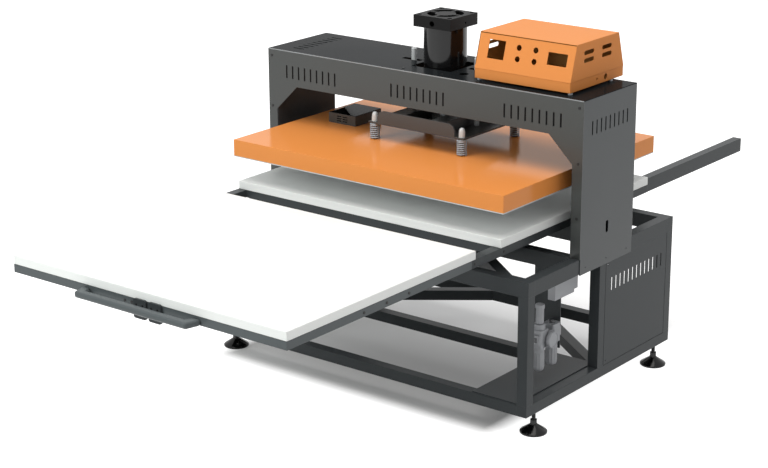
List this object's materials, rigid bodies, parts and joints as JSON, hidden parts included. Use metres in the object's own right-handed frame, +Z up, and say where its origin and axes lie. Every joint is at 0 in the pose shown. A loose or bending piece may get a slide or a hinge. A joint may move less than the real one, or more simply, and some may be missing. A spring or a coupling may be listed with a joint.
{
  "type": "double-station pneumatic heat press",
  "caption": "Portal heat press: an air cylinder pushes a sprung heated plate down on one of two linked tables that slide through the portal on a steel base.",
  "frame": {"origin": "middle of the bounding box on the floor, with the front table pulled out and the press open", "axes": "+Y from the operator's side to the back, along the slide rails; +X to the operator's right, along the gantry; +Z up"},
  "size_m": [1.463, 3.05, 1.305],
  "materials": {
    "frame_paint": "smooth dark grey powder coat, half gloss",
    "black_rubber": "black moulded plastic, glossy",
    "black_steel": "black coat, half gloss",
    "plug_plastic": "dark plastic",
    "bright_steel": "ground steel",
    "slide_plastic": "hard slide plastic",
    "bronze": "turned bronze",
    "plate_paint": "grey coat, half gloss",
    "aluminium": "milled aluminium",
    "orange_gloss": "orange coat, glossy",
    "orange_satin": "orange coat, satin",
    "element_steel": "bare heater tube",
    "wool": "mineral wool mat",
    "table_white": "white heat-proof board, satin",
    "air_unit_grey": "light grey cast metal, satin"
  },
  "bodies": {
    "base": {"foot_pads": "black_rubber", "foot_stems": "black_steel", "foot_nuts": "black_steel", "base_posts": "frame_paint", "base_top_rails": "frame_paint", "base_bottom_rails": "frame_paint", "base_braces": "frame_paint", "base_end_plates": "frame_paint", "base_tray": "frame_paint", "side_covers": "frame_paint", "service_post": "frame_paint", "slide_rails": "frame_paint", "rail_plugs": "plug_plastic", "guide_strips": "bright_steel", "portal_frame": "frame_paint", "cylinder_plate": "frame_paint", "guide_bushes": "bronze", "gantry_front": "frame_paint", "gantry_back": "frame_paint", "gantry_sides": "frame_paint", "gantry_top": "frame_paint", "column_liners": "frame_paint", "gantry_screws": "bright_steel", "cylinder_head": "black_steel", "cylinder_barrel": "black_steel", "cylinder_foot": "black_steel", "control_tray": "orange_satin", "control_hood": "orange_satin", "control_feet": "plug_plastic", "filter_body": "air_unit_grey", "filter_bowl": "air_unit_grey", "pressure_gauge": "air_unit_grey", "lubricator_body": "air_unit_grey", "lubricator_bowl": "air_unit_grey", "valve_block": "air_unit_grey"},
    "knob": {"regulator_knob": "air_unit_grey"},
    "shuttle": {"table_front": "table_white", "table_rear": "table_white", "front_frame": "frame_paint", "rear_frame": "frame_paint", "frame_brackets": "frame_paint", "guide_blocks": "slide_plastic", "pull_handle": "frame_paint", "front_plates": "frame_paint", "shuttle_screws": "bright_steel"},
    "press": {"piston": "aluminium", "piston_rod": "bright_steel", "rod_flange": "plate_paint", "press_plate": "plate_paint", "press_channels": "plate_paint", "guide_rods": "bright_steel", "press_springs": "bright_steel"},
    "heater": {"heater_cover": "orange_gloss", "heater_platen": "aluminium", "heating_elements": "element_steel", "insulation": "wool", "spring_studs": "bright_steel", "stud_caps": "aluminium", "junction_box": "plate_paint", "junction_lid": "plate_paint"}
  },
  "joints": [
    {"name": "table_slide", "type": "slide", "parent": "base", "child": "shuttle", "axis": [0, 1, 0], "range_m": [0, 1.091]},
    {"name": "press_slide", "type": "slide", "parent": "base", "child": "press", "axis": [0, 0, -1], "range_m": [0, 0.089]},
    {"name": "heater_float", "type": "slide", "parent": "press", "child": "heater", "axis": [0, 0, 1], "range_m": [0, 0.01], "stiffness_N_per_m": 80000, "springref_m": -0.004, "deforming": ["press_springs"]},
    {"name": "knob_turn", "type": "hinge", "parent": "base", "child": "knob", "pos_m": [0.612, -0.177, 0.373], "axis": [0, 0, 1], "range_deg": [-720, 720]}
  ]
}
